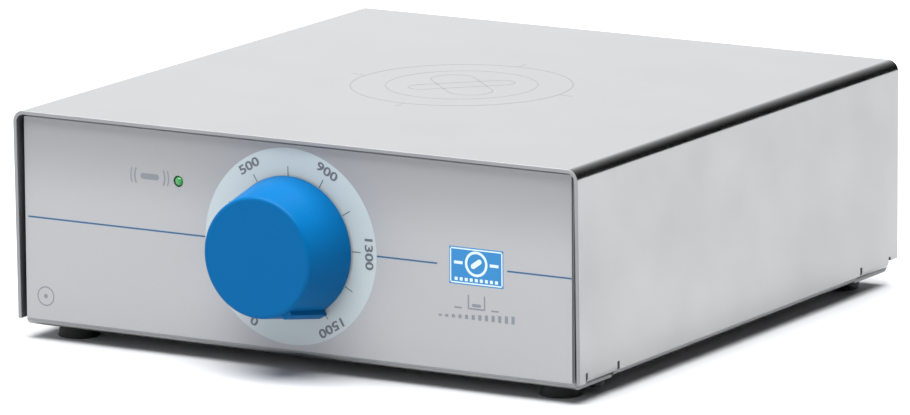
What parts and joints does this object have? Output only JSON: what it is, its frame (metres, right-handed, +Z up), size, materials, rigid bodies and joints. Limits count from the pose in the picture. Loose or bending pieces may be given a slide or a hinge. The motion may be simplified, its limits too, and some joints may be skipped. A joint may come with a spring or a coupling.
{
  "type": "magnetic stirrer",
  "caption": "Square low magnetic stirrer: folded stainless cover on a folded chassis, tapered speed knob on a dial, magnet rotor under the flat top.",
  "frame": {"origin": "centre of the bounding box's base, on the plane the feet stand on", "axes": "+Z up, -Y towards the front panel and its knob, +X to the right as seen from the front"},
  "size_m": [0.2, 0.2254, 0.072],
  "materials": {
    "stainless": "fine brushed stainless sheet",
    "overlay": "printed polycarbonate film, fine matt",
    "knob": "moulded ABS, semi-gloss",
    "green_lens": "clear tinted lens, lit",
    "aluminium": "turned",
    "zinc_steel": "zinc plated",
    "screw_steel": "bright stainless",
    "brass": "turned",
    "nylon": "moulded",
    "board": "solder resist on glass laminate",
    "black_aluminium": "black anodised",
    "black_plastic": "moulded, fine texture",
    "rubber": "moulded",
    "lamination": "varnished laminations",
    "winding": "polyester tape",
    "magnet": "ground ferrite",
    "fuse_glass": "clear",
    "foil": "satin foil, blank",
    "sleeve": "braided sleeving"
  },
  "bodies": {
    "housing": {"chassis": "stainless", "cover": "stainless", "front_overlay": "overlay", "pot_body": "zinc_steel", "pot_washer": "zinc_steel", "pot_nut": "brass", "run_led": "green_lens", "led_spacer": "nylon", "control_board": "board", "standoff_left": "brass", "standoff_right": "brass", "board_screw_left": "screw_steel", "board_screw_right": "screw_steel", "heat_sink": "black_aluminium", "capacitor": "black_plastic", "terminal_block": "nylon", "motor_bracket": "zinc_steel", "motor_body": "zinc_steel", "bracket_screw_left": "screw_steel", "bracket_screw_right": "screw_steel", "motor_screw_left": "screw_steel", "motor_screw_right": "screw_steel", "transformer_core": "lamination", "transformer_winding": "winding", "transformer_screw_left": "screw_steel", "transformer_screw_right": "screw_steel", "inlet_body": "black_plastic", "inlet_pin_line": "brass", "inlet_pin_neutral": "brass", "inlet_pin_earth": "brass", "inlet_screw_left": "screw_steel", "inlet_screw_right": "screw_steel", "switch_body": "black_plastic", "rating_plate": "foil", "motor_lead": "sleeve", "mains_lead": "sleeve", "supply_lead": "sleeve", "foot_front_left": "rubber", "foot_screw_front_left": "screw_steel", "cover_screw_front_left": "screw_steel", "foot_front_right": "rubber", "foot_screw_front_right": "screw_steel", "cover_screw_front_right": "screw_steel", "foot_rear_left": "rubber", "foot_screw_rear_left": "screw_steel", "cover_screw_rear_left": "screw_steel", "foot_rear_right": "rubber", "foot_screw_rear_right": "screw_steel", "cover_screw_rear_right": "screw_steel"},
    "knob": {"speed_knob": "knob", "pot_shaft": "aluminium"},
    "rotor": {"motor_shaft": "screw_steel", "rotor_hub": "aluminium", "keeper_bar": "zinc_steel", "magnet_north": "magnet", "magnet_south": "magnet", "hub_screw": "screw_steel"},
    "fuse_carrier": {"fuse_drawer": "black_plastic", "fuse": "fuse_glass"},
    "rocker": {"switch_rocker": "black_plastic"}
  },
  "joints": [
    {"name": "speed_turn", "type": "hinge", "parent": "housing", "child": "knob", "pos_m": [-0.0011, -0.1, 0.0386], "axis": [0, 1, 0], "range_deg": [-300, 0]},
    {"name": "rotor_spin", "type": "hinge", "parent": "housing", "child": "rotor", "pos_m": [0, 0.00749, 0.05], "axis": [0, 0, 1], "continuous": true},
    {"name": "power_rock", "type": "hinge", "parent": "housing", "child": "rocker", "pos_m": [-0.006, 0.10689, 0.0389], "axis": [1, 0, 0], "range_deg": [-20, 0]},
    {"name": "fuse_slide", "type": "slide", "parent": "housing", "child": "fuse_carrier", "axis": [0, 1, 0], "range_m": [0, 0.014]}
  ]
}
